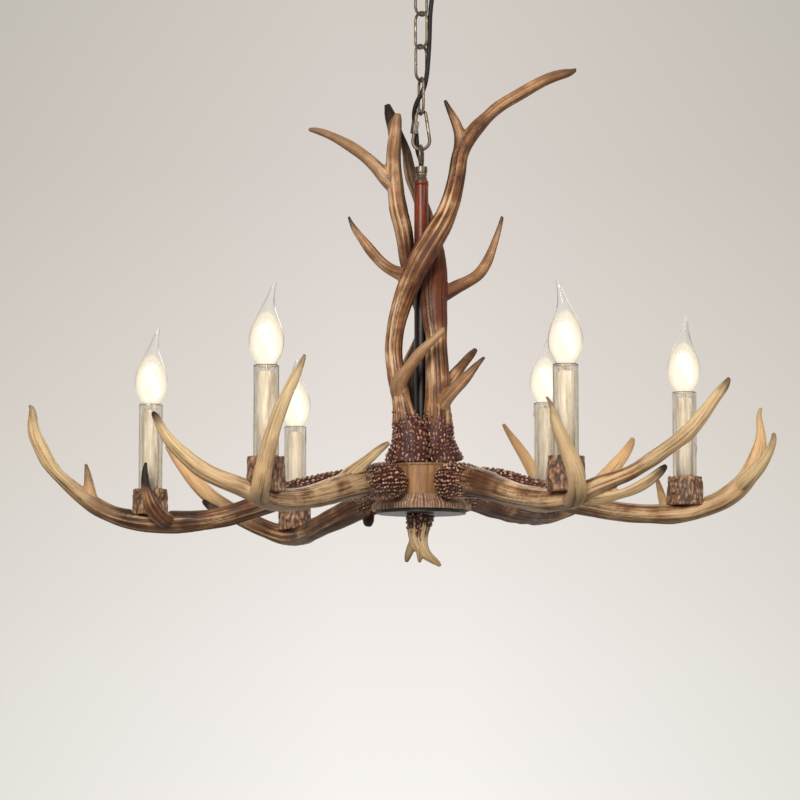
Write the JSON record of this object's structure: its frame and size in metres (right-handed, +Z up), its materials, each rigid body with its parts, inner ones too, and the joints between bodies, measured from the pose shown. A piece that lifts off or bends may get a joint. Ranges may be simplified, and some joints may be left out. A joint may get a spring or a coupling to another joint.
{
  "type": "antler chandelier",
  "caption": "Hanging chandelier of cast antlers: candle lamps on antler arms round a hub, antlers twisted up the stem, hung from a short chain under a canopy.",
  "frame": {"origin": "middle of the crossbar's top face, on the ceiling", "axes": "+Z up, -Y towards the viewer of the picture, +X to the viewer's right"},
  "size_m": [0.7828, 0.5817, 0.7035],
  "materials": {
    "zinc_steel": "zinc plated",
    "bronze_paint": "antique bronze, satin",
    "black_iron": "black, satin",
    "brown_paint": "red-brown, satin",
    "white_plastic": "moulded",
    "black_rubber": "moulded",
    "black_cord": "smooth sheath",
    "tan_resin": "cast resin, stained tan",
    "antler_resin": "cast resin, hand-stained as antler",
    "bark_resin": "cast resin, bark texture",
    "clear_acrylic": "clear, with wax drips",
    "bulb_glass": "clear",
    "nickel_brass": "nickel plated"
  },
  "bodies": {
    "canopy_set": {"ceiling_bracket": "zinc_steel", "canopy": "bronze_paint", "canopy_nipple": "zinc_steel", "canopy_nuts": "zinc_steel", "canopy_loop": "bronze_paint", "terminal_block": "white_plastic", "cord_grommet": "black_rubber"},
    "chain_link_1": {"chain_link_1": "bronze_paint"},
    "chain_link_2": {"chain_link_2": "bronze_paint"},
    "chain_link_3": {"chain_link_3": "bronze_paint"},
    "chain_link_4": {"chain_link_4": "bronze_paint"},
    "quick_link": {"quick_link": "bronze_paint"},
    "quick_link_nut": {"quick_link_nut": "bronze_paint"},
    "bulb_left": {"bulb_glass_left": "bulb_glass", "bulb_cap_left": "nickel_brass"},
    "bulb_front_left": {"bulb_glass_front_left": "bulb_glass", "bulb_cap_front_left": "nickel_brass"},
    "bulb_rear_left": {"bulb_glass_rear_left": "bulb_glass", "bulb_cap_rear_left": "nickel_brass"},
    "bulb_rear_right": {"bulb_glass_rear_right": "bulb_glass", "bulb_cap_rear_right": "nickel_brass"},
    "bulb_front_right": {"bulb_glass_front_right": "bulb_glass", "bulb_cap_front_right": "nickel_brass"},
    "bulb_right": {"bulb_glass_right": "bulb_glass", "bulb_cap_right": "nickel_brass"},
    "fixture": {"hang_eye": "bronze_paint", "stem_cap": "bronze_paint", "stem_pipe": "brown_paint", "stem_nuts": "zinc_steel", "hub_top_plate": "black_iron", "hub_drum": "tan_resin", "hub_skirt": "tan_resin", "hub_bottom_plate": "black_iron", "finial_antler": "antler_resin", "upper_antler_front": "antler_resin", "upper_antler_right": "antler_resin", "upper_antler_left": "antler_resin", "arm_antler_left": "antler_resin", "arm_antler_front_left": "antler_resin", "arm_antler_rear_left": "antler_resin", "arm_antler_rear_right": "antler_resin", "arm_antler_front_right": "antler_resin", "arm_antler_right": "antler_resin", "arm_tubes": "zinc_steel", "arm_nuts": "zinc_steel", "internal_wires": "black_cord", "candle_cup_left": "bark_resin", "candle_sleeve_left": "clear_acrylic", "candle_cup_front_left": "bark_resin", "candle_sleeve_front_left": "clear_acrylic", "candle_cup_rear_left": "bark_resin", "candle_sleeve_rear_left": "clear_acrylic", "candle_cup_rear_right": "bark_resin", "candle_sleeve_rear_right": "clear_acrylic", "candle_cup_front_right": "bark_resin", "candle_sleeve_front_right": "clear_acrylic", "candle_cup_right": "bark_resin", "candle_sleeve_right": "clear_acrylic", "lampholders": "white_plastic", "supply_cord": "black_cord"}
  },
  "joints": [
    {"name": "chain_link_1_swing", "type": "hinge", "parent": "canopy_set", "child": "chain_link_1", "pos_m": [0, 0, -0.0796], "axis": [0.7071, -0.7071, 0], "range_deg": [-15, 15], "deforming": ["supply_cord"]},
    {"name": "chain_link_2_swing", "type": "hinge", "parent": "chain_link_1", "child": "chain_link_2", "pos_m": [0, 0, -0.1148], "axis": [0.7071, 0.7071, 0], "range_deg": [-15, 15], "deforming": ["supply_cord"]},
    {"name": "chain_link_3_swing", "type": "hinge", "parent": "chain_link_2", "child": "chain_link_3", "pos_m": [0, 0, -0.1505], "axis": [0.7071, -0.7071, 0], "range_deg": [-15, 15], "deforming": ["supply_cord"]},
    {"name": "chain_link_4_swing", "type": "hinge", "parent": "chain_link_3", "child": "chain_link_4", "pos_m": [0, 0, -0.1862], "axis": [0.6691, 0.7431, 0], "range_deg": [-15, 15], "deforming": ["supply_cord"]},
    {"name": "quick_link_swing", "type": "hinge", "parent": "chain_link_4", "child": "quick_link", "pos_m": [0, 0, -0.2219], "axis": [0.2756, -0.9613, 0], "range_deg": [-12, 12], "deforming": ["supply_cord"]},
    {"name": "fixture_swing", "type": "hinge", "parent": "quick_link", "child": "fixture", "pos_m": [0, 0, -0.25985], "axis": [0.9659, -0.2588, 0], "range_deg": [-8, 8], "deforming": ["supply_cord"]},
    {"name": "quick_link_nut_turn", "type": "hinge", "parent": "quick_link", "child": "quick_link_nut", "pos_m": [-0.00693, 0.00186, -0.23603], "axis": [0.1431, -0.0383, 0.989], "range_deg": [0, 720]},
    {"name": "bulb_left_turn", "type": "hinge", "parent": "fixture", "child": "bulb_left", "pos_m": [-0.284, 0, -0.532], "axis": [0, 0, 1], "range_deg": [0, 900]},
    {"name": "bulb_front_left_turn", "type": "hinge", "parent": "fixture", "child": "bulb_front_left", "pos_m": [-0.152, -0.242, -0.519], "axis": [0, 0, 1], "range_deg": [0, 900]},
    {"name": "bulb_rear_left_turn", "type": "hinge", "parent": "fixture", "child": "bulb_rear_left", "pos_m": [-0.141, 0.242, -0.532], "axis": [0, 0, 1], "range_deg": [0, 900]},
    {"name": "bulb_rear_right_turn", "type": "hinge", "parent": "fixture", "child": "bulb_rear_right", "pos_m": [0.142, 0.242, -0.505], "axis": [0, 0, 1], "range_deg": [0, 900]},
    {"name": "bulb_front_right_turn", "type": "hinge", "parent": "fixture", "child": "bulb_front_right", "pos_m": [0.138, -0.242, -0.518], "axis": [0, 0, 1], "range_deg": [0, 900]},
    {"name": "bulb_right_turn", "type": "hinge", "parent": "fixture", "child": "bulb_right", "pos_m": [0.276, 0, -0.519], "axis": [0, 0, 1], "range_deg": [0, 900]}
  ]
}
